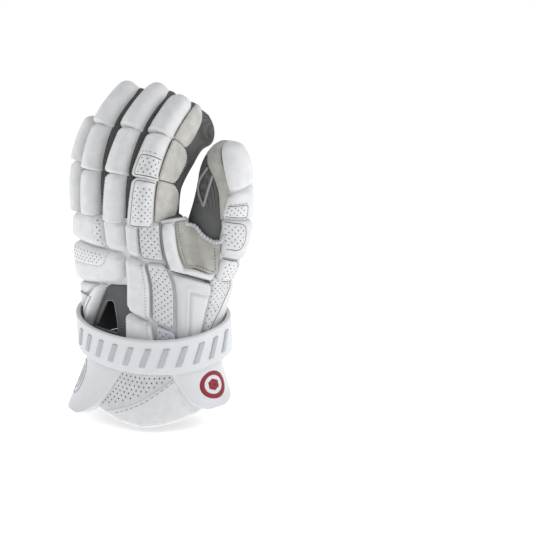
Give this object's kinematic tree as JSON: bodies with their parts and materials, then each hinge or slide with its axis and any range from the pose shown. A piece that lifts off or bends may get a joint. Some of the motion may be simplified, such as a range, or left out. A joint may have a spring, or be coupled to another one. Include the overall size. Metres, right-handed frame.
{
  "type": "lacrosse glove",
  "caption": "Padded left-hand lacrosse glove with foam rolls over the fingers and the back of the hand, a hard thumb guard, a flared cuff with side tabs and a wrist strap",
  "frame": {"origin": "middle of the wrist opening, level with the lowest point of the cuff's edge", "axes": "+Z from the wrist to the fingertips, -Y out of the back of the hand, +X towards the thumb"},
  "size_m": [0.1598, 0.128, 0.3011],
  "materials": {
    "white_leather": "smooth coated leather over foam, softly grained",
    "perforated_leather": "white coated leather with staggered round perforations",
    "grey_suede": "matt warm grey suede with stitched edges",
    "dark_mesh": "fine dark grey mesh knit",
    "palm_leather": "matt grey palm leather",
    "grey_gusset": "grey woven backing",
    "guard_plate": "smooth semi-matt white plastic",
    "strap_rubber": "smooth white moulded rubber with a raised grey pattern"
  },
  "bodies": {
    "root": {"hand_liner_back": "white_leather", "hand_liner_palm": "palm_leather", "finger_sheath_index": "dark_mesh", "finger_sheath_middle": "dark_mesh", "finger_sheath_ring": "dark_mesh", "finger_sheath_pinky": "dark_mesh", "thumb_sheath": "dark_mesh", "wrist_strap": "strap_rubber", "cuff_liner": "perforated_leather", "cuff_tab_ulnar": "white_leather", "cuff_tab_radial": "white_leather", "knuckle_roll_pinky": "white_leather", "knuckle_roll_middle": "white_leather", "knuckle_roll_index": "white_leather", "knuckle_vent_index": "perforated_leather", "backhand_roll_ulnar": "white_leather", "backhand_chevron_roll": "white_leather", "backhand_diagonal_roll": "white_leather", "backhand_column": "white_leather", "backhand_column_lower": "white_leather", "backhand_vent_panel": "perforated_leather", "backhand_strip_lower": "perforated_leather", "saddle_frame": "white_leather", "saddle_bar": "white_leather", "thumb_saddle": "grey_suede", "thumb_guard": "guard_plate", "thumb_wrist_panel": "perforated_leather", "wrist_vent_gusset": "grey_gusset", "index_roll_base": "white_leather", "index_side_base": "grey_suede", "index_roll_mid": "white_leather", "index_side_mid": "grey_suede", "index_roll_tip": "white_leather", "index_side_tip": "grey_suede", "middle_roll_base": "white_leather", "middle_roll_mid": "white_leather", "middle_roll_tip": "white_leather", "ring_roll_base": "white_leather", "ring_roll_mid": "white_leather", "ring_roll_tip": "white_leather", "pinky_roll_base": "white_leather", "pinky_roll_tip": "white_leather", "thumb_roll_root": "white_leather", "thumb_roll_base": "perforated_leather", "thumb_roll_mid": "white_leather", "thumb_roll_tip": "white_leather", "thumb_edge": "grey_suede"}
  },
  "joints": []
}
